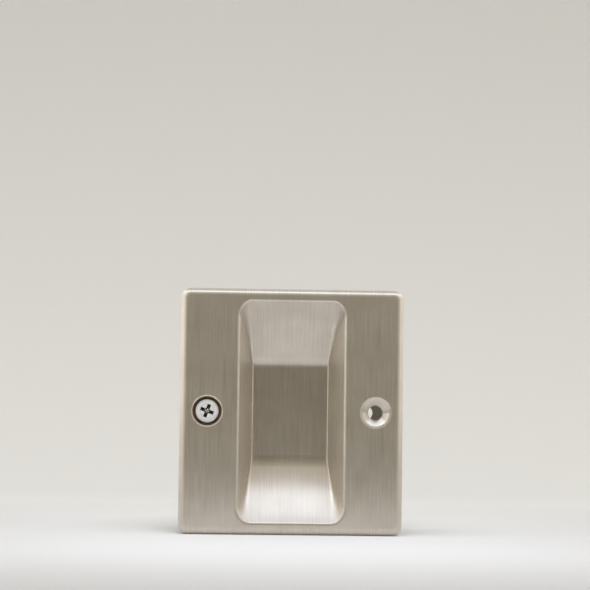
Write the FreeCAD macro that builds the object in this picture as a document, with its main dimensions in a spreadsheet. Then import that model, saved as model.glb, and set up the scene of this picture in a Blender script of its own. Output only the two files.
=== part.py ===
import FreeCAD, Part
import math
import os
import re
import Sketcher

# A two-piece notch pull for a pocket door. Each half is one brass casting: a bevelled plate with a
# scooped finger cup. The halves grip the door's two faces and telescope at the door's edge, where
# the back half's edge wall slides over two guide tabs of the front half. A machine screw through
# the front plate pulls on a tapped lug of the back half.
#
# Frame: X across the face with the door's edge at -X, Y from the front face into the door, Z up.
# The origin is the middle of the closed pull.

SIZES = (
    ("plate_width", 63.5),
    ("plate_height", 69.85),
    ("plate_thickness", 3.175),
    ("plate_corner", 2.75),
    ("plate_bevel", 1.2),
    ("bevel_round", 2),
    ("cast_round", 0.8),
    ("door_least", 34.925),
    ("side_land", 16.7),
    ("end_land", 3.275),
    ("cup_depth", 11.5),
    ("cup_draft", 19),
    ("cup_slope_run", 17.5),
    ("cup_slope_radius", 60),
    ("cup_bend_radius", 8),
    ("cup_wall", 1.7),
    ("cup_back_round", 2.6),
    ("crease_round", 0.9),
    ("corner_round", 4.4),
    ("corner_blend_depth", 3.5),
    ("rim_round", 1.1),
    ("hole_inset", 7.75),
    ("hole_diameter", 4.2),
    ("countersink_diameter", 8.3),
    ("screw_sink_angle", 82),
    ("wood_sink_angle", 100),
    ("countersink_bevel", 0.4),
    ("edge_inset", 4.925),
    ("edge_thickness", 2.2),
    ("edge_corner", 3),
    ("edge_end_gap", 0.4),
    ("finger_height", 38),
    ("finger_width", 18),
    ("finger_corner", 6),
    ("finger_setback", 9.1),
    ("finger_bevel", 0.7),
    ("tab_thickness", 2),
    ("tab_clearance", 0.3),
    ("tab_margin", 1),
    ("tab_corner", 1.5),
    ("lug_diameter", 7),
    ("lug_length", 7),
    ("lug_clearance", 0.08),
    ("screw_diameter", 3.5),
    ("screw_length", 15.875),
    ("screw_head", 6.74),
    ("screw_head_land", 0.15),
    ("screw_crown", 0.6),
    ("screw_point", 0.5),
    ("screw_turn", 20),
    ("seat_clearance", 0.05),
    ("recess_diameter", 3.9),
    ("recess_arm", 1),
    ("recess_depth", 1.5),
    ("recess_taper", 6),
)

# Half sizes that follow from the plate and from the flat left beside what is cut into it
CUP_SIDE = "(plate_width / 2 - side_land)"
CUP_END = "(plate_height / 2 - end_land)"
FLOOR_END = "(plate_height / 2 - end_land - cup_slope_run)"
HOLE_SIDE = "(plate_width / 2 - hole_inset)"
EDGE_END = "(plate_height / 2 - edge_inset)"

# How far a cut or a blend reaches past the face that it starts from
PAST = 3
TOUCH = 1e-6


def make_sheet(doc):
    """The driving sizes, in millimetres and degrees, one to a row."""
    sheet = doc.addObject("Spreadsheet::Sheet", "Sizes")
    for row, (name, value) in enumerate(SIZES, start=1):
        sheet.set(f"A{row}", name)
        sheet.set(f"B{row}", str(value))
        sheet.setAlias(f"B{row}", name)
    doc.recompute()
    return sheet


def in_cells(rule):
    """A rule with the names of sizes turned into the sheet's cells. Each such name has an underscore."""
    return re.sub(r"[a-z]+(_[a-z]+)+", lambda name: f"Sizes.{name.group()}", rule)


def bind(thing, path, rule):
    """Ties a property to the sheet by a rule."""
    thing.setExpression(path, in_cells(rule))


def value_of(thing, rule):
    """What a rule comes to now, as a plain number."""
    number = thing.evalExpression(in_cells(rule))
    return float(getattr(number, "Value", number))


def origin_plane(body, role):
    return next(f for f in body.Origin.OriginFeatures if f.Role == role)


def make_sketch(body, name, role, offset=None):
    """A sketch on one of the body's origin planes, or at a distance along its normal."""
    sketch = body.newObject("Sketcher::SketchObject", name)
    sketch.AttachmentSupport = (origin_plane(body, role), [""])
    sketch.MapMode = "FlatFace"
    if offset:
        bind(sketch, "AttachmentOffset.Base.z", offset)
    return sketch


def fix(sketch, kind, rule, *ends):
    """A dimension of the sketch that follows a rule."""
    index = sketch.addConstraint(Sketcher.Constraint(kind, *ends, value_of(sketch, rule)))
    bind(sketch, f"Constraints[{index}]", rule)


def place(sketch, kind, geometry, point, rule):
    """A point's distance from the sketch's origin, on the side that the rule's sign gives."""
    distance = value_of(sketch, rule)
    if distance < 0:
        fix(sketch, kind, f"0 - ({rule})", geometry, point, -1, 1)
    else:
        fix(sketch, kind, rule, -1, 1, geometry, point)


def relate(sketch, *relations):
    for relation in relations:
        sketch.addConstraint(Sketcher.Constraint(*relation))


def line(sketch, start, end, construction=False):
    segment = Part.LineSegment(FreeCAD.Vector(*start, 0), FreeCAD.Vector(*end, 0))
    return sketch.addGeometry(segment, construction)


def arc(sketch, centre, radius, first, last, construction=False):
    """An arc, anticlockwise between two angles in degrees."""
    circle = Part.Circle(FreeCAD.Vector(*centre, 0), FreeCAD.Vector(0, 0, 1), radius)
    curve = Part.ArcOfCircle(circle, math.radians(first), math.radians(last))
    return sketch.addGeometry(curve, construction)


def rounded_rectangle(sketch, left, right, low, high, radius):
    """A closed outline with four round corners, each side placed by its own rule."""
    x0, x1 = value_of(sketch, left), value_of(sketch, right)
    y0, y1 = value_of(sketch, low), value_of(sketch, high)
    r = value_of(sketch, radius)
    bottom = line(sketch, (x0 + r, y0), (x1 - r, y0))
    corners = [arc(sketch, (x1 - r, y0 + r), r, -90, 0)]
    east = line(sketch, (x1, y0 + r), (x1, y1 - r))
    corners.append(arc(sketch, (x1 - r, y1 - r), r, 0, 90))
    top = line(sketch, (x1 - r, y1), (x0 + r, y1))
    corners.append(arc(sketch, (x0 + r, y1 - r), r, 90, 180))
    west = line(sketch, (x0, y1 - r), (x0, y0 + r))
    corners.append(arc(sketch, (x0 + r, y0 + r), r, 180, 270))
    sides = (bottom, east, top, west)
    for side, corner, following in zip(sides, corners, sides[1:] + sides[:1]):
        relate(sketch, ("Tangent", side, 2, corner, 1), ("Tangent", corner, 2, following, 1))
    relate(sketch, ("Horizontal", bottom), ("Horizontal", top), ("Vertical", east), ("Vertical", west))
    for corner in corners[1:]:
        relate(sketch, ("Equal", corners[0], corner))
    fix(sketch, "Radius", radius, corners[0])
    place(sketch, "DistanceX", west, 1, left)
    place(sketch, "DistanceX", east, 1, right)
    place(sketch, "DistanceY", bottom, 1, low)
    place(sketch, "DistanceY", top, 1, high)


def circle(sketch, across, up, diameter):
    centre = FreeCAD.Vector(value_of(sketch, across), value_of(sketch, up), 0)
    ring = sketch.addGeometry(Part.Circle(centre, FreeCAD.Vector(0, 0, 1), value_of(sketch, diameter) / 2))
    fix(sketch, "Diameter", diameter, ring)
    place(sketch, "DistanceX", ring, 3, across)
    place(sketch, "DistanceY", ring, 3, up)


def polygon(sketch, corners):
    """A closed outline of straight sides. Each corner is a pair of rules."""
    spots = [(value_of(sketch, x), value_of(sketch, y)) for x, y in corners]
    sides = [line(sketch, a, b) for a, b in zip(spots, spots[1:] + spots[:1])]
    for side, following in zip(sides, sides[1:] + sides[:1]):
        relate(sketch, ("Coincident", side, 2, following, 1))
    for side, (x, y) in zip(sides, corners):
        place(sketch, "DistanceX", side, 1, x)
        place(sketch, "DistanceY", side, 1, y)
    return sides


def pad(body, sketch, length, reverse=False, symmetric=False):
    feature = body.newObject("PartDesign::Pad", f"{sketch.Name}_pad")
    feature.Profile = sketch
    bind(feature, "Length", length)
    feature.Reversed = reverse
    feature.Midplane = symmetric
    sketch.Document.recompute()
    return feature


def round_edges(body, base, name, kind, size_path, rule, test):
    """A fillet or chamfer on the edges of the base that pass the test."""
    chosen = [f"Edge{i}" for i, edge in enumerate(base.Shape.Edges, start=1) if test(edge)]
    feature = body.newObject(kind, name)
    feature.Base = (base, chosen)
    bind(feature, size_path, rule)
    body.Document.recompute()
    return feature


def fillet(doc, name, base, edges):
    """A fillet on numbered edges, each with a radius at its first and at its last end."""
    rounded = doc.addObject("Part::Fillet", name)
    rounded.Base = base
    rounded.Edges = edges
    doc.recompute()
    return rounded


def level(edge, height=0):
    """Whether the whole edge lies at one depth."""
    box = edge.BoundBox
    return abs(box.YMin - height) < TOUCH and abs(box.YMax - height) < TOUCH


def scoop(doc, name, grown, top, end_profile):
    """A drafted channel down to the cup's floor, cut off alike at both ends by a profile seen from the side.

    It is larger all round than the cup by the rule in grown, and starts at the depth in top."""
    body = doc.addObject("PartDesign::Body", name)
    channel = make_sketch(body, f"{name}_section", "XY_Plane")
    draft = "tan(cup_draft)"
    side = f"{CUP_SIDE} + ({grown}) / cos(cup_draft)"
    floor = f"cup_depth + ({grown})"
    at_top = f"{side} - ({top}) * {draft}"
    at_floor = f"{side} - ({floor}) * {draft}"
    polygon(channel, (
        (f"0 - ({at_top})", top),
        (at_top, top),
        (at_floor, floor),
        (f"0 - ({at_floor})", floor),
    ))
    block = pad(body, channel, f"2 * {CUP_END} + 2 * ({grown}) + 2 * {PAST}", symmetric=True)
    ends = make_sketch(body, f"{name}_end", "YZ_Plane")
    end_profile(ends)
    cut = body.newObject("PartDesign::Pocket", f"{name}_upper_end")
    cut.Profile = ends
    cut.Type = "ThroughAll"
    cut.Midplane = True
    doc.recompute()
    both = body.newObject("PartDesign::Mirrored", f"{name}_both_ends")
    both.Originals = [cut]
    both.MirrorPlane = (origin_plane(body, "XY_Plane"), [""])
    body.Tip = both
    doc.recompute()
    if not both.Shape.Volume < cut.Shape.Volume < block.Shape.Volume:
        raise RuntimeError(f"the ends of {name} aren't cut")
    return body


def concave_end(sketch):
    """What lies outside the cup's inside at its upper end: depth across, height up.

    A long concave slope turns into the floor."""
    depth = value_of(sketch, "cup_depth")
    half_floor, half_length = value_of(sketch, FLOOR_END), value_of(sketch, CUP_END)
    radius, bend = value_of(sketch, "cup_slope_radius"), value_of(sketch, "cup_bend_radius")
    blend = value_of(sketch, "corner_blend_depth")
    # The slope's centre is as far from the rim as from the floor's end, on the open side.
    chord = math.hypot(depth, half_length - half_floor)
    reach = math.sqrt(radius ** 2 - chord ** 2 / 4) / chord
    centre = (depth / 2 - reach * (half_length - half_floor), (half_floor + half_length) / 2 - reach * depth)
    bend_centre_x = depth - bend
    bend_rise = math.sqrt((radius - bend) ** 2 - (bend_centre_x - centre[0]) ** 2)
    bend_centre = (bend_centre_x, centre[1] + bend_rise)

    def angle_to(x, y):
        return math.degrees(math.atan2(y - centre[1], x - centre[0]))

    turn, at_rim = angle_to(*bend_centre), angle_to(0, half_length)
    at_blend = math.degrees(math.acos((blend - centre[0]) / radius))
    true_slope = arc(sketch, centre, radius, angle_to(depth, half_floor), at_rim, True)
    lower = arc(sketch, centre, radius, turn, at_blend)
    upper = arc(sketch, centre, radius, at_blend, at_rim)
    turned = arc(sketch, bend_centre, bend, 0, turn)
    end_y, high = bend_centre[1], half_length + 2 * PAST
    under = line(sketch, (depth, end_y), (depth + PAST, end_y))
    outer = line(sketch, (depth + PAST, end_y), (depth + PAST, high))
    over = line(sketch, (depth + PAST, high), (0, high))
    down = line(sketch, (0, high), (0, half_length))
    relate(
        sketch,
        ("PointOnObject", true_slope, 2, -2),
        ("Coincident", lower, 3, true_slope, 3),
        ("Coincident", upper, 3, true_slope, 3),
        ("Coincident", lower, 2, upper, 1),
        ("PointOnObject", upper, 2, -2),
        ("Tangent", lower, 1, turned, 2),
        ("Horizontal", turned, 3, turned, 1),
        ("Coincident", under, 1, turned, 1),
        ("Horizontal", under),
        ("Coincident", outer, 1, under, 2),
        ("Vertical", outer),
        ("Coincident", over, 1, outer, 2),
        ("Horizontal", over),
        ("PointOnObject", over, 2, -2),
        ("Coincident", down, 1, over, 2),
        ("Coincident", down, 2, upper, 2),
    )
    place(sketch, "DistanceY", true_slope, 2, CUP_END)
    place(sketch, "DistanceX", true_slope, 1, "cup_depth")
    place(sketch, "DistanceY", true_slope, 1, FLOOR_END)
    fix(sketch, "Radius", "cup_slope_radius", true_slope)
    fix(sketch, "Radius", "cup_slope_radius", lower)
    fix(sketch, "Radius", "cup_bend_radius", turned)
    place(sketch, "DistanceX", lower, 2, "corner_blend_depth")
    place(sketch, "DistanceX", turned, 1, "cup_depth")
    place(sketch, "DistanceX", under, 2, f"cup_depth + {PAST}")
    place(sketch, "DistanceY", outer, 2, f"{CUP_END} + 2 * {PAST}")


def flat_end(sketch):
    """What lies outside the cup's back at its upper end: depth across, height up.

    The back's end is flat, one wall thickness off the inside where the slope bulges out most."""
    bulge = "cup_slope_radius - sqrt(cup_slope_radius ^ 2 - (cup_depth ^ 2 + cup_slope_run ^ 2) / 4)"
    offset = f"(cup_wall + {bulge})"
    # Along the height, the flat end lies this much beyond the line from the rim to the floor's end.
    beyond = f"{offset} * sqrt(cup_depth ^ 2 + cup_slope_run ^ 2) / cup_depth"
    deep = f"(cup_depth + cup_wall + {PAST})"
    high = f"{CUP_END} + {beyond} + {PAST}"
    polygon(sketch, (
        ("0", f"{CUP_END} + {beyond}"),
        (deep, f"{CUP_END} + {beyond} - {deep} * cup_slope_run / cup_depth"),
        (deep, high),
        ("0", high),
    ))


def cup_cavity(doc, sheet, half):
    """The finger cup's inside. Its creases are tight, and open out into the rim's round corners."""
    body = scoop(doc, f"{half}_cup_inside", "0", "0", concave_end)
    doc.recompute()

    def radius_at(vertex):
        return float(sheet.corner_round) if abs(vertex.Point.y) < TOUCH else float(sheet.crease_round)

    creases = []
    for index, edge in enumerate(body.Shape.Edges, start=1):
        first, last = edge.Vertexes[0], edge.Vertexes[-1]
        along_a_side = first.Point.x * last.Point.x > 0
        if along_a_side and not level(edge):
            creases.append((index, radius_at(first), radius_at(last)))
    return fillet(doc, f"{half}_cup_space", body, creases)


def cup_back(doc, sheet, half):
    """The cup's outside. It starts within the plate, and all edges of it that show are round."""
    start = "plate_thickness / 2"
    body = scoop(doc, f"{half}_cup_outside", "cup_wall", start, flat_end)
    doc.recompute()
    top, radius = value_of(body, start), float(sheet.cup_back_round)
    shown = [
        (index, radius, radius)
        for index, edge in enumerate(body.Shape.Edges, start=1)
        if not level(edge, top)
    ]
    return fillet(doc, f"{half}_cup_back", body, shown)


def add_plate(body):
    """The face plate, with a bevel all round its face that meets the face in a soft edge."""
    outline = make_sketch(body, f"{body.Name}_outline", "XZ_Plane")
    half_width, half_height = "plate_width / 2", "plate_height / 2"
    rounded_rectangle(
        outline, f"0 - {half_width}", half_width, f"0 - {half_height}", half_height, "plate_corner"
    )
    plate = pad(body, outline, "plate_thickness", reverse=True)
    bevel = round_edges(
        body, plate, f"{body.Name}_bevel", "PartDesign::Chamfer", "Size", "plate_bevel", level
    )
    return round_edges(
        body, bevel, f"{body.Name}_bevel_round", "PartDesign::Fillet", "Radius", "bevel_round", level
    )


def add_hole(body, name, side, angle):
    """A countersunk screw hole level with the cup's middle, on one side of the cup. Its rim is bevelled."""
    centre = make_sketch(body, f"{name}_centre", "XZ_Plane")
    circle(centre, f"{side} * {HOLE_SIDE}", "0", "hole_diameter")
    body.Document.recompute()
    hole = body.newObject("PartDesign::Hole", name)
    hole.Profile = centre
    body.Document.recompute()
    hole.Threaded = False
    hole.DepthType = "ThroughAll"
    hole.HoleCutType = "Countersink"
    hole.HoleCutCustomValues = True
    bind(hole, "Diameter", "hole_diameter")
    bind(hole, "HoleCutDiameter", "countersink_diameter")
    bind(hole, "HoleCutCountersinkAngle", angle)
    body.Document.recompute()
    width = value_of(body, "countersink_diameter")

    def is_rim(edge):
        return level(edge) and edge.isClosed() and abs(edge.BoundBox.XLength - width) < TOUCH

    return round_edges(
        body, hole, f"{name}_rim", "PartDesign::Chamfer", "Size", "countersink_bevel", is_rim
    )


# The free ends of the edge wall and of the tabs stop short of the other half's plate.
WALL_END = "plate_thickness + door_least - edge_end_gap"
WALL_START = "plate_thickness / 2"


def add_edge_wall(body):
    """The wall along the door's edge, with the opening that a finger hooks into."""
    sketch = make_sketch(body, "edge_wall_side", "YZ_Plane", "0 - plate_width / 2")
    polygon(sketch, (
        (WALL_START, f"0 - {EDGE_END}"),
        (WALL_END, f"0 - {EDGE_END}"),
        (WALL_END, EDGE_END),
        (WALL_START, EDGE_END),
    ))
    near = "plate_thickness + finger_setback"
    tall = "finger_height / 2"
    rounded_rectangle(sketch, near, f"{near} + finger_width", f"0 - {tall}", tall, "finger_corner")
    wall = pad(body, sketch, "edge_thickness")
    end = value_of(body, WALL_END)

    def is_free_corner(edge):
        box = edge.BoundBox
        return box.YLength < TOUCH and box.ZLength < TOUCH and abs(box.YMin - end) < TOUCH

    wall = round_edges(
        body, wall, "edge_wall_corners", "PartDesign::Fillet", "Radius", "edge_corner", is_free_corner
    )
    outside = value_of(body, "0 - plate_width / 2")
    tallest = value_of(body, tall)
    start = value_of(body, near)

    def is_finger_edge(edge):
        box = edge.BoundBox
        inside = box.YMin > start - TOUCH and max(-box.ZMin, box.ZMax) < tallest + TOUCH
        return box.XLength < TOUCH and abs(box.XMin - outside) < TOUCH and inside

    return round_edges(
        body, wall, "finger_opening_bevel", "PartDesign::Chamfer", "Size", "finger_bevel", is_finger_edge
    )


def add_lug(body):
    """The tapped lug inside the edge wall, at the end next to the front plate.

    Its thread is left out: the bore clears the screw."""
    outline = make_sketch(body, "lug_outline", "XZ_Plane", f"0 - ({WALL_END})")
    centre, radius = f"0 - {HOLE_SIDE}", "lug_diameter / 2"
    root = "edge_thickness / 2 - plate_width / 2"
    x, r, x0 = value_of(outline, centre), value_of(outline, radius), value_of(outline, root)
    low = line(outline, (x0, -r), (x, -r))
    nose = arc(outline, (x, 0), r, -90, 90)
    high = line(outline, (x, r), (x0, r))
    back = line(outline, (x0, r), (x0, -r))
    relate(
        outline,
        ("Tangent", low, 2, nose, 1),
        ("Tangent", nose, 2, high, 1),
        ("Coincident", high, 2, back, 1),
        ("Coincident", back, 2, low, 1),
        ("Horizontal", low),
        ("Horizontal", high),
        ("Vertical", back),
        ("PointOnObject", nose, 3, -1),
    )
    fix(outline, "Radius", radius, nose)
    place(outline, "DistanceX", nose, 3, centre)
    place(outline, "DistanceX", back, 1, root)
    lug = pad(body, outline, "lug_length", reverse=False)
    bore = make_sketch(body, "lug_bore_outline", "XZ_Plane", f"0 - ({WALL_END})")
    circle(bore, centre, "0", "screw_diameter + 2 * lug_clearance")
    pocket = body.newObject("PartDesign::Pocket", "lug_bore")
    pocket.Profile = bore
    bind(pocket, "Length", f"lug_length + {PAST}")
    pocket.Reversed = True
    body.Document.recompute()
    if pocket.Shape.Volume >= lug.Shape.Volume:
        raise RuntimeError("the lug has no bore")
    return pocket


def add_tabs(body):
    """Two guide tabs that slide inside the edge wall, above and below the finger opening."""
    inward = "0 - plate_width / 2 + edge_thickness + tab_clearance"
    for name, sign in (("upper", 1), ("lower", -1)):
        sketch = make_sketch(body, f"{name}_tab_side", "YZ_Plane", inward)
        near = "finger_height / 2 + tab_margin"
        spans = (near, EDGE_END) if sign > 0 else (f"0 - {EDGE_END}", f"0 - ({near})")
        rounded_rectangle(sketch, WALL_START, WALL_END, *spans, "tab_corner")
        tab = pad(body, sketch, "tab_thickness")
    return tab


def join(doc, half, body, sheet, root):
    """Plate and cup back as one casting, with its inner corners filled, hollowed and its rim rolled over.

    The root is how far across the wall or tabs at the door's edge rise from the plate."""
    casting = doc.addObject("Part::Fuse", f"{half}_casting")
    casting.Base = body
    casting.Tool = cup_back(doc, sheet, half)
    doc.recompute()
    inner_face, root_side = value_of(casting, "plate_thickness"), value_of(casting, root)
    back_side = value_of(casting, f"{CUP_SIDE} + cup_wall / cos(cup_draft)")
    cast = float(sheet.cast_round)
    corners = []
    for index, edge in enumerate(casting.Shape.Edges, start=1):
        box = edge.BoundBox
        of_cup = max(-box.XMin, box.XMax) < back_side
        of_root = max(abs(box.XMin - root_side), abs(box.XMax - root_side)) < TOUCH
        if level(edge, inner_face) and (of_cup or of_root):
            corners.append((index, cast, cast))
    hollow = doc.addObject("Part::Cut", f"{half}_hollowed")
    hollow.Base = fillet(doc, f"{half}_cast_corners", casting, corners)
    hollow.Tool = cup_cavity(doc, sheet, half)
    doc.recompute()
    wide, long = value_of(hollow, CUP_SIDE) + TOUCH, value_of(hollow, CUP_END) + TOUCH
    radius = float(sheet.rim_round)
    rim = []
    for index, edge in enumerate(hollow.Shape.Edges, start=1):
        box = edge.BoundBox
        within = max(-box.XMin, box.XMax) < wide and max(-box.ZMin, box.ZMax) < long
        if level(edge) and within:
            rim.append((index, radius, radius))
    finished = fillet(doc, half, hollow, rim)
    finished.Label = half
    return finished


def front_half(doc, sheet):
    """The casting on the front face: a hole on each side of the cup, and the two guide tabs."""
    body = doc.addObject("PartDesign::Body", "front_plate")
    add_plate(body)
    add_tabs(body)
    add_hole(body, "joining_screw_hole", -1, "screw_sink_angle")
    body.Tip = add_hole(body, "front_wood_screw_hole", 1, "wood_sink_angle")
    doc.recompute()
    root = "0 - plate_width / 2 + edge_thickness + tab_clearance + tab_thickness"
    half = join(doc, "front_half", body, sheet, root)
    bind(half, "Placement.Base.y", "0 - door_least / 2 - plate_thickness")
    return half


def back_half(doc, sheet):
    """The casting on the back face: a hole away from the edge, the edge wall and the lug.

    It is drawn as the front half is, from its own face, and then turned to face the other way."""
    body = doc.addObject("PartDesign::Body", "back_plate")
    add_plate(body)
    add_edge_wall(body)
    add_lug(body)
    body.Tip = add_hole(body, "back_wood_screw_hole", 1, "wood_sink_angle")
    doc.recompute()
    half = join(doc, "back_half", body, sheet, "0 - plate_width / 2 + edge_thickness")
    half.Placement = FreeCAD.Placement(
        FreeCAD.Vector(), FreeCAD.Rotation(FreeCAD.Vector(1, 0, 0), 180)
    )
    bind(half, "Placement.Base.y", "door_least / 2 + plate_thickness")
    return half


def joining_screw(doc):
    """The flat-head machine screw, from its head's edge down. Its thread is left out."""
    body = doc.addObject("PartDesign::Body", "joining_screw")
    profile = make_sketch(body, "screw_profile", "XY_Plane")
    head, shank = "screw_head / 2", "screw_diameter / 2"
    neck = "screw_head_land + (screw_head - screw_diameter) / 2 / tan(screw_sink_angle / 2)"
    spots = (
        ("0", "0 - screw_crown"),
        ("0", "screw_length"),
        (f"{shank} - screw_point", "screw_length"),
        (shank, "screw_length - screw_point"),
        (shank, neck),
        (head, "screw_head_land"),
        (head, "0"),
    )
    points = [(value_of(profile, x), value_of(profile, y)) for x, y in spots]
    sides = [line(profile, a, b) for a, b in zip(points, points[1:])]
    for side, following in zip(sides, sides[1:]):
        relate(profile, ("Coincident", side, 2, following, 1))
    for side, (x, y) in zip(sides, spots):
        place(profile, "DistanceX", side, 1, x)
        place(profile, "DistanceY", side, 1, y)
    place(profile, "DistanceX", sides[-1], 2, spots[-1][0])
    place(profile, "DistanceY", sides[-1], 2, spots[-1][1])
    # The crown is part of a large ball whose centre lies on the axis.
    half_head, crown = points[-1][0], -points[0][1]
    ball = (half_head ** 2 + crown ** 2) / (2 * crown)
    reach = math.degrees(math.asin(half_head / ball))
    top = arc(profile, (0, ball - crown), ball, 270, 270 + reach)
    relate(
        profile,
        ("Coincident", top, 1, sides[0], 1),
        ("Coincident", top, 2, sides[-1], 2),
        ("PointOnObject", top, 3, -2),
    )
    turned = body.newObject("PartDesign::Revolution", "screw_turned")
    turned.Profile = profile
    turned.ReferenceAxis = (profile, ["V_Axis"])
    turned.Angle = 360
    doc.recompute()
    cross = make_sketch(body, "recess_cross", "XZ_Plane", "screw_crown")
    end, arm = "recess_diameter / 2", "recess_arm / 2"
    minus_end, minus_arm = f"0 - {end}", f"0 - {arm}"
    polygon(cross, (
        (minus_end, minus_arm), (minus_arm, minus_arm), (minus_arm, minus_end),
        (arm, minus_end), (arm, minus_arm), (end, minus_arm),
        (end, arm), (arm, arm), (arm, end),
        (minus_arm, end), (minus_arm, arm), (minus_end, arm),
    ))
    recess = body.newObject("PartDesign::Pocket", "cross_recess")
    recess.Profile = cross
    bind(recess, "Length", "recess_depth + screw_crown")
    bind(recess, "TaperAngle", "0 - recess_taper")
    doc.recompute()
    if recess.Shape.Volume >= turned.Shape.Volume:
        raise RuntimeError("the screw has no recess")
    turn = FreeCAD.Rotation(FreeCAD.Vector(0, 1, 0), value_of(body, "screw_turn"))
    body.Placement = FreeCAD.Placement(FreeCAD.Vector(), turn)
    bind(body, "Placement.Base.x", f"0 - {HOLE_SIDE}")
    # The head's edge sits where the countersink has narrowed to it, a little way off the seat.
    sunk = "(countersink_diameter - screw_head - 2 * seat_clearance) / 2 / tan(screw_sink_angle / 2)"
    bind(body, "Placement.Base.y", f"{sunk} - screw_head_land - door_least / 2 - plate_thickness")
    body.Label = "joining_screw"
    return body


def check(doc, parts):
    """Stops before anything is written if an object has failed or a part isn't sound."""
    for thing in doc.Objects:
        if {"Invalid", "Error"} & set(thing.State):
            raise RuntimeError(f"{thing.Label} failed: {thing.getStatusString()}")
    for part in parts:
        shape = part.Shape
        if shape.isNull() or not shape.isValid() or len(shape.Solids) != 1:
            raise RuntimeError(f"{part.Label} isn't one sound solid")


def main():
    doc = FreeCAD.newDocument("pocket_door_pull")
    sheet = make_sheet(doc)
    parts = [front_half(doc, sheet), back_half(doc, sheet), joining_screw(doc)]
    doc.recompute()
    check(doc, parts)
    os.makedirs("parts", exist_ok=True)
    for part in parts:
        part.Shape.exportStep(f"parts/{part.Label}.step")
        print(f"{part.Label}: {part.Shape.Volume:.1f} mm3")


main()
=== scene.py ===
import functools
import math

import bmesh
import bpy
from mathutils import Matrix, Vector


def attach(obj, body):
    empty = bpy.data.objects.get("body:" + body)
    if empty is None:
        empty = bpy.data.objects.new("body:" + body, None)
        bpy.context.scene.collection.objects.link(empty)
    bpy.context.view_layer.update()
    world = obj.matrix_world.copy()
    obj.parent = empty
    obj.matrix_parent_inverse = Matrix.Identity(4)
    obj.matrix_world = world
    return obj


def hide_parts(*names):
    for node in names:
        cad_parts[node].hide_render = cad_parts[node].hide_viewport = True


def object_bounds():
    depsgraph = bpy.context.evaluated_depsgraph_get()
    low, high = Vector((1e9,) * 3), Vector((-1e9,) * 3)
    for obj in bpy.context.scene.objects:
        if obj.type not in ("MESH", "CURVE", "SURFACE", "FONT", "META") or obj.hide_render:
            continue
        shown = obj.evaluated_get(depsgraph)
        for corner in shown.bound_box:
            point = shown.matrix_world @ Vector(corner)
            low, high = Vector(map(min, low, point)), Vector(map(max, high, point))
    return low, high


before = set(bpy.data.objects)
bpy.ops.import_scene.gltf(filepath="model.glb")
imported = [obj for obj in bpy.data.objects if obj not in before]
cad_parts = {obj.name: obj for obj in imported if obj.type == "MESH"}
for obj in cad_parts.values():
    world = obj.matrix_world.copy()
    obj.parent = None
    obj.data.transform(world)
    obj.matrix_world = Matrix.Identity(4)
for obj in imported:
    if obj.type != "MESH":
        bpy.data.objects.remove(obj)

bl_info = {
    "name": "Pocket Door Pull",
    "version": (1, 0, 0),
    "blender": (4, 5, 0),
    "location": "View3D > Sidebar > Door Pull",
    "description": "Finishes a telescoping pocket door pull and sets a plain studio round it",
    "category": "Object",
}

# The frame is in metres. Sizes that are easier to read in millimetres are written with MM.
MM = 0.001
CAD_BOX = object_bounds()


def linear(hex_colour):
    """An sRGB hex colour as linear red, green and blue."""
    channels = [int(hex_colour[i:i + 2], 16) / 255 for i in (1, 3, 5)]
    return [c / 12.92 if c <= 0.04045 else ((c + 0.055) / 1.055) ** 2.4 for c in channels]


class PULL_PG_finish(bpy.types.PropertyGroup):
    """Colours of the metals and how coarse their grain is."""

    nickel: bpy.props.FloatVectorProperty(
        name="Nickel", description="Satin nickel as a mirror of it would look, slightly warm",
        subtype="COLOR", size=3, min=0, max=1, default=linear("#DDD5CA"))
    stroke: bpy.props.FloatVectorProperty(
        name="Stroke", description="The darker bottoms of the brush lines",
        subtype="COLOR", size=3, min=0, max=1, default=linear("#CDC5B9"))
    cast: bpy.props.FloatVectorProperty(
        name="Cast", description="Nickel on the cast faces that no brush has reached",
        subtype="COLOR", size=3, min=0, max=1, default=linear("#B4ACA1"))
    # Painted shade: a dark colour laid round the joining screw's head, where the gap under it lies
    # in shadow.
    painted_seat_shade: bpy.props.FloatVectorProperty(
        name="Seat Shade", description="Brass gone dark where the joining screw sits",
        subtype="COLOR", size=3, min=0, max=1, default=linear("#5A4A38"))
    zinc: bpy.props.FloatVectorProperty(
        name="Zinc", description="Bright zinc plate of the joining screw, cool and pale",
        subtype="COLOR", size=3, min=0, max=1, default=linear("#F4F4F5"))
    # Painted shade: the dark colour laid deep in the screw's recess, where shade falls.
    recess: bpy.props.FloatVectorProperty(
        name="Recess", description="The dark plate in the wings of the screw's recess",
        subtype="COLOR", size=3, min=0, max=1, default=linear("#6A635C"))
    brush_width: bpy.props.FloatProperty(
        name="Brush Line", description="Distance between two of the coarser brush lines",
        subtype="DISTANCE", unit="LENGTH", default=0.28 * MM, min=0.02 * MM)
    brush_length: bpy.props.FloatProperty(
        name="Brush Stroke", description="How far one brush line runs up the face",
        subtype="DISTANCE", unit="LENGTH", default=16 * MM, min=1 * MM)
    cloud: bpy.props.FloatProperty(
        name="Cloud", description="Size of the faint uneven patches in the plate's tone",
        subtype="DISTANCE", unit="LENGTH", default=7 * MM, min=1 * MM)
    cast_grain: bpy.props.FloatProperty(
        name="Cast Grain", description="Size of the mould's grains on faces that aren't brushed",
        subtype="DISTANCE", unit="LENGTH", default=0.35 * MM, min=0.05 * MM)


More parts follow.
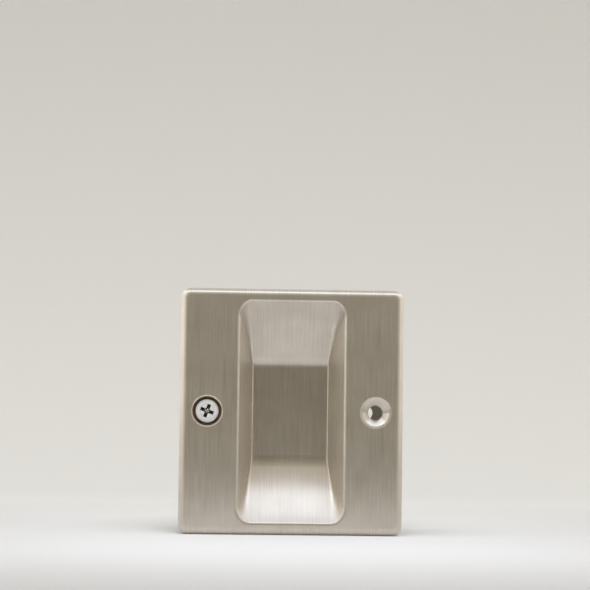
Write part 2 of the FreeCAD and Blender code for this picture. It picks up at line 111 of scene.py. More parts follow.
class PULL_PG_screw(bpy.types.PropertyGroup):
    """Sizes of the joining screw, which stay close to those of its plain solid."""

    head_edge: bpy.props.FloatProperty(
        name="Head Edge", description="Where the head's edge lies along Y",
        subtype="DISTANCE", unit="LENGTH", default=-19.9 * MM)
    head: bpy.props.FloatProperty(
        name="Head", description="Across the flat head",
        subtype="DISTANCE", unit="LENGTH", default=6.64 * MM, min=2 * MM)
    crown: bpy.props.FloatProperty(
        name="Crown", description="How far the head's middle stands above its edge",
        subtype="DISTANCE", unit="LENGTH", default=0.7 * MM, min=0.05 * MM)
    length: bpy.props.FloatProperty(
        name="Length", description="From the head's edge to the point",
        subtype="DISTANCE", unit="LENGTH", default=15.8 * MM, min=4 * MM)
    thread: bpy.props.FloatProperty(
        name="Thread", description="Across the crests of the thread",
        subtype="DISTANCE", unit="LENGTH", default=3.49 * MM, min=1 * MM)
    thread_depth: bpy.props.FloatProperty(
        name="Thread Depth", description="From the thread's crest to its root",
        subtype="DISTANCE", unit="LENGTH", default=0.45 * MM, min=0.05 * MM)
    pitch: bpy.props.FloatProperty(
        name="Pitch", description="Distance from thread to thread, 32 to the inch",
        subtype="DISTANCE", unit="LENGTH", default=25.4 / 32 * MM, min=0.2 * MM)
    recess_reach: bpy.props.FloatProperty(
        name="Recess", description="From the middle of the cross recess to the end of a wing",
        subtype="DISTANCE", unit="LENGTH", default=1.95 * MM, min=0.5 * MM)
    recess_wing: bpy.props.FloatProperty(
        name="Wing", description="Width of one wing of the recess at the head's face",
        subtype="DISTANCE", unit="LENGTH", default=1.0 * MM, min=0.2 * MM)
    recess_depth: bpy.props.FloatProperty(
        name="Recess Depth", description="From the head's face to the recess's point",
        subtype="DISTANCE", unit="LENGTH", default=2.2 * MM, min=0.5 * MM)
    turn: bpy.props.FloatProperty(
        name="Turn", description="How far the recess is turned clockwise, seen from the front",
        subtype="ANGLE", default=math.radians(20))


class PULL_PG_studio(bpy.types.PropertyGroup):
    """The camera, the lights and the floor."""

    distance: bpy.props.FloatProperty(
        name="Camera Distance", description="From the camera to the face plate",
        subtype="DISTANCE", unit="LENGTH", default=600 * MM, min=0.1)
    image_width: bpy.props.FloatProperty(
        name="Image Width", description="Width that the image spans at the face plate",
        subtype="DISTANCE", unit="LENGTH", default=167.7 * MM, min=0.02)
    aside: bpy.props.FloatProperty(
        name="Aside", description="How far the camera stands to the left of the pull's middle",
        subtype="DISTANCE", unit="LENGTH", default=25 * MM)
    roll: bpy.props.FloatProperty(
        name="Roll", description="How far the camera leans to the left",
        subtype="ANGLE", default=math.radians(0.75))
    front: bpy.props.FloatProperty(
        name="Front", description="Light from straight behind the camera, where the room is dim",
        default=0.182, min=0)
    room: bpy.props.FloatProperty(
        name="Room", description="Light from above and from behind the pull",
        default=1.25, min=0)
    sides: bpy.props.FloatProperty(
        name="Sides", description="How much stronger the light is at the pull's left and right",
        default=1.5, min=0)
    left: bpy.props.FloatProperty(
        name="Left", description="How much stronger the left side is than the right",
        default=1.25, min=0)
    ceiling: bpy.props.FloatProperty(
        name="Ceiling", description="How much of the light is left straight above",
        default=0.5, min=0)
    overhead: bpy.props.FloatProperty(
        name="Overhead", description="Power of the softbox above and in front of the pull",
        subtype="POWER", unit="POWER", default=0.65, min=0)
    pool: bpy.props.FloatProperty(
        name="Pool", description="Power of the lamp that lights the paper at the pull's foot",
        subtype="POWER", unit="POWER", default=0.105, min=0)
    paper: bpy.props.FloatVectorProperty(
        name="Paper", description="Matt paper in front of the pull",
        subtype="COLOR", size=3, min=0, max=1, default=linear("#C6C5C3"))
    backdrop: bpy.props.FloatVectorProperty(
        name="Backdrop", description="The same paper behind the pull, where it grows paler",
        subtype="COLOR", size=3, min=0, max=1, default=linear("#EFEEEC"))


# The kinds of node that come up often
MATH = "ShaderNodeMath"
MIX = "ShaderNodeMix"
RANGE = "ShaderNodeMapRange"
NOISE = "ShaderNodeTexNoise"
SPLIT = "ShaderNodeSeparateXYZ"
JOIN = "ShaderNodeCombineXYZ"

# A mix node's sockets for its factor, for two numbers, for two colours and for the mixed colour
FACTOR, FIRST, SECOND, FIRST_COLOUR, SECOND_COLOUR, MIXED_COLOUR = 0, 2, 3, 6, 7, 2


def add_node(tree, kind, inputs=(), **settings):
    """Adds a node with its settings and its inputs, which are listed in order or by name.

    An input is a plain value or another node's output, and a node stands for its first output."""
    node = tree.nodes.new(kind)
    for name, value in settings.items():
        setattr(node, name, value)
    listed = inputs if isinstance(inputs, dict) else dict(enumerate(inputs))
    for name, value in listed.items():
        if isinstance(value, bpy.types.Node):
            value = value.outputs[0]
        if isinstance(value, bpy.types.NodeSocket):
            tree.links.new(value, node.inputs[name])
        else:
            node.inputs[name].default_value = value
    return node


def new_material(name):
    """An empty material, and what adds a node to its tree."""
    material = bpy.data.materials.new(name)
    material.use_nodes = True
    material.node_tree.nodes.clear()
    return material, functools.partial(add_node, material.node_tree)


def radius_round(add, across, up):
    """Distance from an axis along Y, from the two distances across it."""
    square = add(MATH, [across, across], operation="MULTIPLY")
    square = add(MATH, [up, up, square], operation="MULTIPLY_ADD")
    return add(MATH, [square], operation="SQRT")


# Where the castings' faces lie, which tells their shader one from another: the plates' inner faces
# along Y, the door's edge along X, the holes' axes along X, and how far round an axis the
# countersink with its bevel and the painted shade in the joining screw's seat reach
INNER_FACE = 17.5 * MM
EDGE_FACE = -31.7 * MM
HOLE_ACROSS = 24 * MM
SINK_RADIUS = 4.6 * MM
SEAT_RADIUS = 4.12 * MM
SEAT_FADE = 0.1 * MM

# Parts of a normal along one axis: where a face begins to look outward, looks only along Y, looks
# only along X, and turns from the cup's floor or slopes, and to its walls
OUTWARD = 0.05
FACE_ON = 0.9
SIDE_ON = 0.9
LEAVES_FLOOR = (0.15, 0.3)
REACHES_WALL = (0.93, 0.8)

# Depths between which the cup's creases grow bright, from the face plate inward
CREASE_DEPTHS = (INNER_FACE + 1.5 * MM, INNER_FACE - 3 * MM)

# Roughness of the nickel, between the lows and the highs of its brush lines or its grain
BRUSHED_ROUGHNESS = (0.33, 0.39)
CAST_ROUGHNESS = (0.5, 0.62)
CREASE_ROUGHNESS = 0.26
SINK_ROUGHNESS = 0.34
SMEAR = 0.95

# The middle stretch of a noise pattern, which holds nearly all of it
MOST_NOISE = (0.3, 0.7)

# Height of the finest relief in either metal, and how much of it shows
RELIEF = 0.01 * MM
NICKEL_BUMP = 0.35
CAST_BUMP_GAIN = 3.0
ZINC_BUMP = 0.15


def satin_nickel(finish):
    """Satin nickel plate on cast brass, brushed along the face after plating.

    The eye sees fine lines that run up the face, and reflections that smear sideways across them.
    The countersinks are cut and smooth, so they shine. The inner faces keep the mould's grain."""
    material, add = new_material("satin_nickel_brushed")
    place = add("ShaderNodeTexCoord").outputs
    x, y, z = add(SPLIT, [place["Object"]]).outputs
    facing = add(SPLIT, [place["Normal"]]).outputs
    side_on = add(MATH, [facing["X"]], operation="ABSOLUTE")
    face_on = add(MATH, [facing["Y"]], operation="ABSOLUTE")
    depth = add(MATH, [y], operation="ABSOLUTE")

    # Brushed are the faces that look away from the door, the plates' edges and the door's edge.
    half = add(MATH, [y], operation="SIGN")
    outward = add(MATH, [facing["Y"], half], operation="MULTIPLY")
    looks_out = add(MATH, [outward, OUTWARD], operation="GREATER_THAN")
    on_plate = add(MATH, [depth, INNER_FACE], operation="GREATER_THAN")
    on_edge = add(MATH, [x, EDGE_FACE], operation="LESS_THAN")
    brushed = add(MATH, [on_plate, on_edge], operation="MAXIMUM")
    brushed = add(MATH, [looks_out, brushed], operation="MAXIMUM")

    # A countersink is what slants within the plate, close to the axis of a hole.
    across = add(MATH, [x], operation="ABSOLUTE")
    across = add(MATH, [across, HOLE_ACROSS], operation="SUBTRACT")
    radius = radius_round(add, across, z)
    near_hole = add(MATH, [radius, SINK_RADIUS], operation="LESS_THAN")
    slanted = add(MATH, [face_on, FACE_ON], operation="LESS_THAN")
    slanted = add(MATH, [slanted, on_plate], operation="MULTIPLY")
    sunk = add(MATH, [near_hole, slanted], operation="MULTIPLY")

    # The joining screw's seat is at -X in the front plate. Its dark ring is painted shade, where
    # the gap under the head lies in shadow, and ends on the outer bevel.
    at_left = add(MATH, [x, 0.0], operation="LESS_THAN")
    in_front = add(MATH, [y, -INNER_FACE], operation="LESS_THAN")
    seat = add(MATH, [at_left, in_front], operation="MULTIPLY")
    in_ring = add(RANGE, [radius, SEAT_RADIUS + SEAT_FADE, SEAT_RADIUS])
    seat_shade_mask = add(MATH, [seat, in_ring], operation="MULTIPLY")

    # In the cup's creases, where the floor and the slopes turn into the walls, the brush hardly
    # reaches, and the plate stays bright.
    in_cup = add(RANGE, [depth, *CREASE_DEPTHS])
    off_floor = add(RANGE, [side_on, *LEAVES_FLOOR])
    off_wall = add(RANGE, [side_on, *REACHES_WALL])
    turning = add(MATH, [off_floor, off_wall], operation="MULTIPLY")
    turning = add(MATH, [turning, in_cup], operation="MULTIPLY")
    crease = add(MATH, [turning, brushed], operation="MULTIPLY")

    # Faces that look sideways carry their lines across Y, and all others across X. The real lines
    # lie closer, too fine for the image, so they are drawn as coarse as they need to be to show.
    is_side = add(MATH, [side_on, SIDE_ON], operation="GREATER_THAN")
    across = add(MIX, {FACTOR: is_side, FIRST: x, SECOND: y})
    lines = add(MATH, [across, finish.brush_width], operation="DIVIDE")
    strokes = add(MATH, [z, finish.brush_length], operation="DIVIDE")
    stretched = add(JOIN, [lines, strokes])
    brush = add(
        NOISE, {"Vector": stretched, "Scale": 1.0, "Detail": 3.0, "Roughness": 0.7},
        noise_dimensions="2D")
    grain = add(NOISE, {"Vector": place["Object"], "Scale": 1 / finish.cast_grain, "Detail": 3.0})
    patches = add(NOISE, {"Vector": place["Object"], "Scale": 1 / finish.cloud, "Detail": 2.0})

    stroke, nickel, cast, painted_seat_shade = (
        (*colour, 1) for colour in (finish.stroke, finish.nickel, finish.cast, finish.painted_seat_shade))
    tone = stroke
    for factor, colour in (
        (add(RANGE, [brush, 0.32, 0.62]), nickel),
        (add(RANGE, [patches, 0.4, 0.7, 0.0, 0.2]), cast),
        (add(MATH, [1.0, brushed], operation="SUBTRACT"), cast),
        (sunk, nickel),
        # painted shade round the joining screw's head
        (seat_shade_mask, painted_seat_shade),
    ):
        mixed = add(
            MIX, {FACTOR: factor, FIRST_COLOUR: tone, SECOND_COLOUR: colour}, data_type="RGBA")
        tone = mixed.outputs[MIXED_COLOUR]

    roughness = add(RANGE, [grain, *MOST_NOISE, *CAST_ROUGHNESS])
    for factor, value in (
        (brushed, add(RANGE, [brush, *MOST_NOISE, *BRUSHED_ROUGHNESS])),
        (crease, CREASE_ROUGHNESS),
        (sunk, SINK_ROUGHNESS),
    ):
        roughness = add(MIX, {FACTOR: factor, FIRST: roughness, SECOND: value})

    cast_relief = add(MATH, [grain, CAST_BUMP_GAIN], operation="MULTIPLY")
    relief = add(MIX, {FACTOR: brushed, FIRST: cast_relief, SECOND: brush})
    strength = add(MIX, {FACTOR: sunk, FIRST: NICKEL_BUMP, SECOND: 0.0})
    bump = add("ShaderNodeBump", {"Strength": strength, "Distance": RELIEF, "Height": relief})

    # Gloss smears across the lines.
    is_face = add(MATH, [1.0, is_side], operation="SUBTRACT")
    smear = add(
        "ShaderNodeVectorTransform", [add(JOIN, [is_face, is_side])],
        vector_type="VECTOR", convert_from="OBJECT", convert_to="WORLD")
    shader = add("ShaderNodeBsdfPrincipled", {
        "Base Color": tone, "Metallic": 1.0, "Roughness": roughness, "Anisotropic": SMEAR,
        "Normal": bump, "Tangent": smear})
    add("ShaderNodeOutputMaterial", {"Surface": shader})
    return material


# How far the screw's recess reaches from the axis, with its bevel, and where it ends along Y. Its
# painted shade grows dark between two depths below the head's edge, and between two distances from
# the axis.
RECESS_RADIUS = 2.1 * MM
RECESS_END = 1.52 * MM
DARK_DEPTHS = (-0.6 * MM, -0.35 * MM)
DARK_FROM = (0.45 * MM, 0.7 * MM)

ZINC_GRAIN = 0.5 * MM
ZINC_ROUGHNESS = (0.62, 0.76)
RECESS_ROUGHNESS = 0.25


def bright_zinc(finish):
    """Zinc plated steel, as headed and rolled and then dipped.

    The eye sees a pale, soft shine that is faintly uneven, and a recess that is painted dark deep
    inside, as painted shade where the recess lies in shadow."""
    material, add = new_material("bright_zinc_plate")
    place = add("ShaderNodeTexCoord").outputs["Object"]
    x, y, z = add(SPLIT, [place]).outputs
    uneven = add(NOISE, {"Vector": place, "Scale": 1 / ZINC_GRAIN, "Detail": 2.0})

    radius = radius_round(add, x, z)
    near_axis = add(MATH, [radius, RECESS_RADIUS], operation="LESS_THAN")
    before_end = add(MATH, [y, RECESS_END], operation="LESS_THAN")
    within = add(MATH, [near_axis, before_end], operation="MULTIPLY")
    # Painted shade: the recess grows darker with depth and away from its axis.
    sunk = add(MATH, [within, add(RANGE, [y, *DARK_DEPTHS])], operation="MULTIPLY")
    painted_recess_shade = add(MATH, [sunk, add(RANGE, [radius, *DARK_FROM])], operation="MULTIPLY")

    tone = add(
        MIX, {FACTOR: painted_recess_shade, FIRST_COLOUR: (*finish.zinc, 1), SECOND_COLOUR: (*finish.recess, 1)},
        data_type="RGBA")
    dull = add(RANGE, [uneven, *MOST_NOISE, *ZINC_ROUGHNESS])
    roughness = add(MIX, {FACTOR: sunk, FIRST: dull, SECOND: RECESS_ROUGHNESS})
    bump = add("ShaderNodeBump", {"Strength": ZINC_BUMP, "Distance": RELIEF, "Height": uneven})
    shader = add("ShaderNodeBsdfPrincipled", {
        "Base Color": tone.outputs[MIXED_COLOUR], "Metallic": 1.0, "Roughness": roughness,
        "Normal": bump})
    add("ShaderNodeOutputMaterial", {"Surface": shader})
    return material


# The paper's fibres, which only make its shine uneven, and the stretch along Y in which it pales
FIBRE = 2 * MM
PAPER_ROUGHNESS = (0.9, 1.0)
PAPER_PALES = (-0.05, 0.2)


def matt_paper(studio):
    """Matt seamless paper whose colour grows paler toward the back.

    The eye sees an even, pale sheet with no shine."""
    material, add = new_material("matt_seamless_paper")
    place = add("ShaderNodeTexCoord").outputs["Object"]
    fibre = add(NOISE, {"Vector": place, "Scale": 1 / FIBRE, "Detail": 4.0})
    behind = add(RANGE, [add(SPLIT, [place]).outputs["Y"], *PAPER_PALES])
    tone = add(
        MIX,
        {FACTOR: behind, FIRST_COLOUR: (*studio.paper, 1), SECOND_COLOUR: (*studio.backdrop, 1)},
        data_type="RGBA")
    shader = add("ShaderNodeBsdfPrincipled", {
        "Base Color": tone.outputs[MIXED_COLOUR], "Specular IOR Level": 0.1,
        "Roughness": add(RANGE, [fibre, 0.0, 1.0, *PAPER_ROUGHNESS])})
    add("ShaderNodeOutputMaterial", {"Surface": shader})
    return material


def give_material(piece, material):
    piece.data.materials.clear()
    piece.data.materials.append(material)


class PULL_OT_finish_castings(bpy.types.Operator):
    """Give both halves of the pull their brushed nickel"""

    bl_idname = "pull.finish_castings"
    bl_label = "Finish Castings"
    bl_options = {"REGISTER", "UNDO"}

    def execute(self, context):
        material = satin_nickel(context.scene.pull_finish)
        for name in ("front_half", "back_half"):
            give_material(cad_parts[name], material)
        return {"FINISHED"}


def add_piece(name, data):
    """An object with its mesh, lamp or camera data, in the scene."""
    piece = bpy.data.objects.new(name, data)
    bpy.context.scene.collection.objects.link(piece)
    return piece


def finished_mesh(mesh, name):
    """Turns a mesh that is being built into one that an object can hold."""
    data = bpy.data.meshes.new(name)
    mesh.to_mesh(data)
    mesh.free()
    return data


def lathe(mesh, profile, steps):
    """Turns a profile of radius and height round Y. It starts and ends on the axis."""
    turns = [2 * math.pi * i / steps for i in range(steps)]
    rings = []
    for radius, y in profile:
        if radius == 0:
            rings.append([mesh.verts.new((0, y, 0))] * steps)
            continue
        rings.append([
            mesh.verts.new((radius * math.cos(turn), y, radius * math.sin(turn)))
            for turn in turns])
    loft(mesh, rings)


def loft(mesh, rings):
    """Skins closed rings of vertices one after the other."""
    for ring, following in zip(rings, rings[1:]):
        for i in range(len(ring)):
            j = (i + 1) % len(ring)
            corners = [ring[i], ring[j], following[j], following[i]]
            mesh.faces.new([v for k, v in enumerate(corners) if v not in corners[:k]])


# The head: the share of its radius that is flat, how sharply the rest curves down, the land and
# the round at its edge, and the angle between its underside and the axis
FLAT_SHARE = 0.36
CROWN_CURVE = 1.6
HEAD_LAND = 0.15 * MM
HEAD_ROUND = 0.08 * MM
HEAD_SLANT = math.radians(41)
DOME_STEPS = 14
HEAD_STEPS = 96

# The shank: where its thread and its core start below the head's edge, how deep the head's
# underside reaches into it, and how far before the point its thread and its core's bevel stop
THREAD_START = 2.3 * MM
CORE_START = 2 * MM
HEAD_DEEP = 3 * MM
THREAD_STOP = 0.3 * MM
POINT_BEVEL = (0.35 * MM, 0.3 * MM)
SHANK_STEPS = 48

# One turn of the thread, as shares of its pitch and of its depth above the root
THREAD_SHAPE = ((0.0, 0), (0.2, 0), (0.55, 1), (0.65, 1))

# The recess: its bevel, how far its inner corners are cut off, and how far it has narrowed near
# its point
RECESS_BEVEL = 0.07 * MM
RECESS_CORNER = 0.2 * MM
NARROW_REACH = 0.42
NARROW_WING = 0.62
NARROW_DEPTH = 0.8
WING_STEPS = 5

WELD = 0.002 * MM
SHARP_ANGLE = math.radians(32)


def crown_height(screw, radius):
    """Y of the head's domed face at a radius: flat round the recess, and steeper to the edge."""
    share = max(0, radius / (screw.head / 2) - FLAT_SHARE) / (1 - FLAT_SHARE)
    return screw.crown * (share ** CROWN_CURVE - 1)


def root_radius(screw):
    return screw.thread / 2 - screw.thread_depth


def head_profile(screw):
    """Radius and height along the head, from the middle of its face to below its underside."""
    half, neck = screw.head / 2, root_radius(screw)
    dome = [(half - HEAD_ROUND) * i / DOME_STEPS for i in range(DOME_STEPS + 1)]
    return [
        *((radius, crown_height(screw, radius)) for radius in dome),
        (half - 0.3 * HEAD_ROUND, 0.1 * HEAD_ROUND),
        (half, HEAD_ROUND),
        (half, HEAD_LAND),
        (neck, HEAD_LAND + (half - neck) / math.tan(HEAD_SLANT)),
        (0, HEAD_DEEP),
    ]


def cross_outline(reach, wing):
    """Points round a cross, with its inner corners cut off and its long sides in short steps."""
    half = wing / 2
    inner = half + RECESS_CORNER
    steps = [inner + (reach - inner) * i / WING_STEPS for i in range(WING_STEPS + 1)]
    quarter = [(u, -half) for u in steps[1:]] + [(u, half) for u in reversed(steps)]
    quarter.append((half, inner))
    points = []
    for c, s in ((1, 0), (0, 1), (-1, 0), (0, -1)):
        points += [(c * u - s * v, s * u + c * v) for u, v in quarter]
    return points


def cross_cutter(screw):
    """What the driver's recess takes out of the head, with a small bevel round its edge."""
    mesh = bmesh.new()
    reach, wing = screw.recess_reach, screw.recess_wing
    point = screw.recess_depth - screw.crown
    nominal = cross_outline(reach, wing)
    flared = cross_outline(reach + RECESS_BEVEL, wing + 2 * RECESS_BEVEL)
    narrow = cross_outline(reach * NARROW_REACH, wing * NARROW_WING)

    def ring(points, height_of):
        return [mesh.verts.new((x, height_of(math.hypot(x, z)), z)) for x, z in points]

    rings = [
        ring(flared, lambda radius: -2 * screw.crown),
        ring(flared, lambda radius: crown_height(screw, radius)),
        ring(nominal, lambda radius: crown_height(screw, radius) + RECESS_BEVEL),
        ring(narrow, lambda radius: point * NARROW_DEPTH),
        [mesh.verts.new((0, point, 0))] * len(nominal),
    ]
    loft(mesh, rings)
    mesh.faces.new(reversed(rings[0]))
    bmesh.ops.recalc_face_normals(mesh, faces=mesh.faces)
    return finished_mesh(mesh, "recess")


def thread_columns(screw, start, end):
    """Radius and height along the threaded shank, as one column for each step of a turn."""
    root = root_radius(screw)
    turns = math.ceil((end - start) / screw.pitch) + 2
    columns = []
    for step in range(SHANK_STEPS):
        column = []
        for turn in range(turns):
            for share, rise in THREAD_SHAPE:
                y = start + (turn + share + step / SHANK_STEPS - 1) * screw.pitch
                # The thread runs out in its first pitch and in its last one.
                fade = min(1, max(0, (end - y) / screw.pitch), max(0, (y - start) / screw.pitch))
                column.append((root + rise * screw.thread_depth * fade, min(max(y, start), end)))
        columns.append(column)
    return columns


def add_thread(mesh, screw, start, end):
    """Skins the columns of the thread, the last one on to the first."""
    grid = []
    for step, column in enumerate(thread_columns(screw, start, end)):
        turn = 2 * math.pi * step / SHANK_STEPS
        grid.append([
            mesh.verts.new((radius * math.cos(turn), y, radius * math.sin(turn)))
            for radius, y in column])
    # One turn further on, the same place along the helix lies one pitch's points back.
    pitch_points = len(THREAD_SHAPE)
    grid.append(grid[0][pitch_points:] + [grid[0][-1]] * pitch_points)
    count = len(grid[0]) - pitch_points
    for here, after in zip(grid, grid[1:]):
        for i in range(count - 1):
            corners = (here[i], here[i + 1], after[i + 1], after[i])
            if len(set(corners)) == 4:
                mesh.faces.new(corners)


def head_mesh(screw):
    """The head with its recess cut out, as a mesh that is still being built."""
    mesh = bmesh.new()
    lathe(mesh, head_profile(screw), HEAD_STEPS)
    bmesh.ops.recalc_face_normals(mesh, faces=mesh.faces)
    head = add_piece("screw_head", finished_mesh(mesh, "screw_head"))
    cutter = add_piece("recess_cutter", cross_cutter(screw))
    cut = head.modifiers.new("recess", "BOOLEAN")
    cut.object = cutter
    cut.solver = "EXACT"
    evaluated = head.evaluated_get(bpy.context.evaluated_depsgraph_get())
    mesh = bmesh.new()
    mesh.from_mesh(bpy.data.meshes.new_from_object(evaluated))
    for piece in (head, cutter):
        bpy.data.objects.remove(piece)
    return mesh


def screw_mesh(screw):
    """The joining screw along Y, with its head's edge at zero: a domed head and a rolled thread."""
    mesh = head_mesh(screw)
    root, tip = root_radius(screw), screw.length
    along, inward = POINT_BEVEL
    add_thread(mesh, screw, THREAD_START, tip - THREAD_STOP)
    core = [
        (0, CORE_START), (root, CORE_START), (root, tip - along), (root - inward, tip), (0, tip)]
    lathe(mesh, core, SHANK_STEPS)
    bmesh.ops.remove_doubles(mesh, verts=mesh.verts, dist=WELD)
    bmesh.ops.recalc_face_normals(mesh, faces=mesh.faces)
    data = finished_mesh(mesh, "joining_screw_detail")
    data.shade_smooth()
    data.set_sharp_from_angle(angle=SHARP_ANGLE)
    return data


class PULL_OT_make_screw(bpy.types.Operator):
    """Make the joining screw with its cross recess and thread, and give it its zinc"""

    bl_idname = "pull.make_screw"
    bl_label = "Make Screw"
    bl_options = {"REGISTER", "UNDO"}

    def execute(self, context):
        screw = context.scene.pull_screw
        piece = add_piece("joining_screw_detail", screw_mesh(screw))
        piece.location = (-HOLE_ACROSS, screw.head_edge, 0)
        piece.rotation_euler = (0, screw.turn, 0)
        give_material(piece, bright_zinc(context.scene.pull_finish))
        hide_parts("joining_screw")
        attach(piece, "front")
        return {"FINISHED"}


# Where the middle of the pull lies in the image, in pixels of its 590 by 590 frame
IMAGE_SIDE = 590
MIDDLE_AT = (291.6, 412)

# The camera's sensor in its usual millimetres, and the nearest and farthest that it sees
SENSOR = 36
CAMERA_SEES = (0.01, 10)


def add_camera(studio):
    """A camera at the pull's height and a little to its left, leaning a little.

    It looks above the pull, which so lies low in the image."""
    target = Vector((0, CAD_BOX[0].y, 0))
    place = target + Vector((-studio.aside, -studio.distance, 0))
    forward = (target - place).normalized()
    upright = Vector((0, 0, 1))
    level = forward.cross(upright)
    right = math.cos(studio.roll) * level + math.sin(studio.roll) * upright
    up = right.cross(forward)
    pixel = studio.image_width / IMAGE_SIDE
    aside, rise = (pixel * (at - IMAGE_SIDE / 2) for at in MIDDLE_AT)
    forward = (target - aside * right + rise * up - place).normalized()
    right = forward.cross(up).normalized()
    up = right.cross(forward)
    data = bpy.data.cameras.new("camera")
    data.sensor_width = SENSOR
    data.lens = SENSOR * studio.distance / studio.image_width
    data.clip_start, data.clip_end = CAMERA_SEES
    camera = add_piece("camera", data)
    camera.location = place
    camera.rotation_euler = Matrix((right, up, -forward)).transposed().to_euler()
    bpy.context.scene.camera = camera


# The paper: half its width, its edge in front and its face behind, how round it bends up, and how
# high it reaches
PAPER_HALF_WIDTH = 2.5
PAPER_FRONT = -0.215
PAPER_BACK = 0.5
PAPER_BEND = 0.25
PAPER_TOP = 0.9
PAPER_STEPS = 24


def add_paper(studio):
    """A floor that curves up into a backdrop, as one sheet."""
    floor_z = CAD_BOX[0].z
    bend_from = PAPER_BACK - PAPER_BEND
    profile = [(PAPER_FRONT, floor_z), (bend_from, floor_z)]
    for i in range(1, PAPER_STEPS + 1):
        turn = math.pi / 2 * i / PAPER_STEPS
        profile.append((
            bend_from + PAPER_BEND * math.sin(turn), floor_z + PAPER_BEND * (1 - math.cos(turn))))
    profile.append((PAPER_BACK, PAPER_TOP))
    mesh = bpy.data.meshes.new("paper")
    vertices = [(x, y, z) for y, z in profile for x in (-PAPER_HALF_WIDTH, PAPER_HALF_WIDTH)]
    faces = [(2 * i, 2 * i + 1, 2 * i + 3, 2 * i + 2) for i in range(len(profile) - 1)]
    mesh.from_pydata(vertices, [], faces)
    mesh.shade_smooth()
    paper = add_piece("paper", mesh)
    give_material(paper, matt_paper(studio))


# The softbox over the pull: its colour, its sides, and where it hangs, seen from the pull's middle
SOFTBOX_COLOUR = "#DAE7FF"
SOFTBOX_SIZE = (0.8, 0.19)
SOFTBOX_REACH = 0.5
SOFTBOX_RISE = math.radians(69.5)

# The lamp for the pull's foot: its colour, its sides, how wide it shines, how far ahead of the face
# it points on the paper, and where it hangs, seen from there
FOOT_LAMP_COLOUR = "#F2F5FF"
FOOT_LAMP_SIZE = (0.2, 0.16)
FOOT_LAMP_SPREAD = math.radians(60)
FOOT_LAMP_AHEAD = 0.03
FOOT_LAMP_FROM = Vector((0, -0.12, 0.25))


def add_area_lamp(name, power, colour, size, place, target):
    data = bpy.data.lights.new(name, "AREA")
    data.shape = "RECTANGLE"
    data.size, data.size_y = size
    data.energy = power
    data.color = linear(colour)
    lamp = add_piece(name, data)
    lamp.location = place
    lamp.rotation_euler = (target - place).to_track_quat("-Z", "Y").to_euler()
    return lamp


def add_lamps(studio):
    """The softbox over the pull, and a lamp for the paper at its foot that no metal mirrors."""
    above = Vector((0, -math.cos(SOFTBOX_RISE), math.sin(SOFTBOX_RISE))) * SOFTBOX_REACH
    add_area_lamp(
        "overhead_softbox", studio.overhead, SOFTBOX_COLOUR, SOFTBOX_SIZE, above, Vector((0, 0, 0)))
    foot = Vector((0, CAD_BOX[0].y - FOOT_LAMP_AHEAD, CAD_BOX[0].z))
    pool = add_area_lamp(
        "foot_lamp", studio.pool, FOOT_LAMP_COLOUR, FOOT_LAMP_SIZE, foot + FOOT_LAMP_FROM, foot)
    pool.data.spread = FOOT_LAMP_SPREAD
    pool.visible_glossy = False


# The room: the angles from straight behind the camera at which it is dimmest and no longer dim,
# and its colours there
DIM_ANGLES = (math.radians(10), math.radians(80))
DIM_COLOUR = "#FFF6DF"
ROOM_COLOUR = "#FFFEFB"


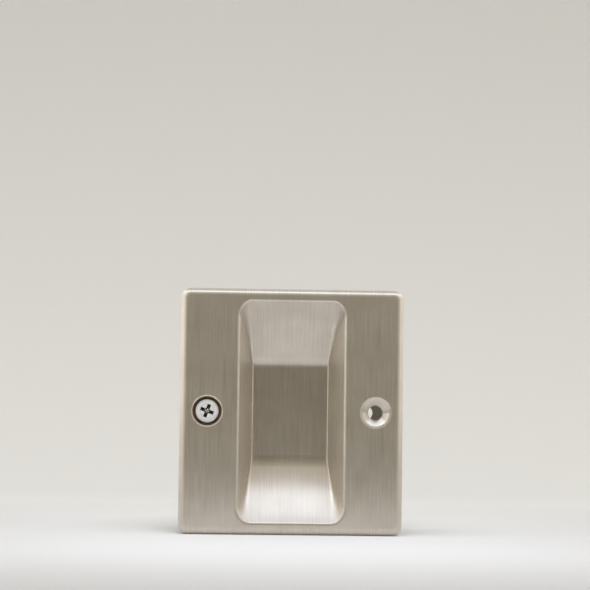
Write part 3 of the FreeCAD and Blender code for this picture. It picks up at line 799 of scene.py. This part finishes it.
def light_room(studio):
    """The room's light: pale, strongest at both sides, and dim and warm behind the camera."""
    world = bpy.data.worlds.new("room")
    bpy.context.scene.world = world
    world.use_nodes = True
    world.node_tree.nodes.clear()
    add = functools.partial(add_node, world.node_tree)
    toward = add(SPLIT, [add("ShaderNodeTexCoord").outputs["Generated"]]).outputs

    # Y runs from -1 straight behind the camera to 1 behind the pull.
    away = add(RANGE, [toward["Y"], *(-math.cos(angle) for angle in DIM_ANGLES)])
    level = add(MIX, {FACTOR: away, FIRST: studio.front, SECOND: studio.room})
    for part, start, end, gain in (
        (toward["X"], -0.5, -1.0, studio.left),
        (toward["Z"], 0.8, 1.0, studio.ceiling),
        (add(MATH, [toward["X"]], operation="ABSOLUTE"), 0.5, 1.0, studio.sides),
    ):
        gain = add(RANGE, [part, start, end, 1.0, gain])
        level = add(MATH, [level, gain], operation="MULTIPLY")
    tint = add(
        MIX, {
            FACTOR: away, FIRST_COLOUR: (*linear(DIM_COLOUR), 1),
            SECOND_COLOUR: (*linear(ROOM_COLOUR), 1)},
        data_type="RGBA")
    light = add(
        "ShaderNodeBackground", {"Color": tint.outputs[MIXED_COLOUR], "Strength": level})
    add("ShaderNodeOutputWorld", {"Surface": light})


class PULL_OT_set_stage(bpy.types.Operator):
    """Set up the camera, the paper and the lights"""

    bl_idname = "pull.set_stage"
    bl_label = "Set Stage"
    bl_options = {"REGISTER", "UNDO"}

    def execute(self, context):
        studio = context.scene.pull_studio
        add_camera(studio)
        add_paper(studio)
        light_room(studio)
        add_lamps(studio)
        context.scene.view_settings.view_transform = "Standard"
        return {"FINISHED"}


class PULL_PT_panel(bpy.types.Panel):
    """Lists the pull's pieces and its studio"""

    bl_idname = "PULL_PT_panel"
    bl_label = "Pocket Door Pull"
    bl_space_type = "VIEW_3D"
    bl_region_type = "UI"
    bl_category = "Door Pull"

    def draw(self, context):
        scene = context.scene
        for operator, settings in (
            (PULL_OT_finish_castings, scene.pull_finish),
            (PULL_OT_make_screw, scene.pull_screw),
            (PULL_OT_set_stage, scene.pull_studio),
        ):
            box = self.layout.box()
            for name in settings.__annotations__:
                box.prop(settings, name)
            box.operator(operator.bl_idname)


CLASSES = (
    PULL_PG_finish,
    PULL_PG_screw,
    PULL_PG_studio,
    PULL_OT_finish_castings,
    PULL_OT_make_screw,
    PULL_OT_set_stage,
    PULL_PT_panel,
)


def register():
    for cls in CLASSES:
        bpy.utils.register_class(cls)
    bpy.types.Scene.pull_finish = bpy.props.PointerProperty(type=PULL_PG_finish)
    bpy.types.Scene.pull_screw = bpy.props.PointerProperty(type=PULL_PG_screw)
    bpy.types.Scene.pull_studio = bpy.props.PointerProperty(type=PULL_PG_studio)


def unregister():
    del bpy.types.Scene.pull_finish
    del bpy.types.Scene.pull_screw
    del bpy.types.Scene.pull_studio
    for cls in reversed(CLASSES):
        bpy.utils.unregister_class(cls)


def main():
    register()
    bpy.ops.pull.finish_castings()
    bpy.ops.pull.make_screw()
    bpy.ops.pull.set_stage()


if __name__ == "__main__":
    main()
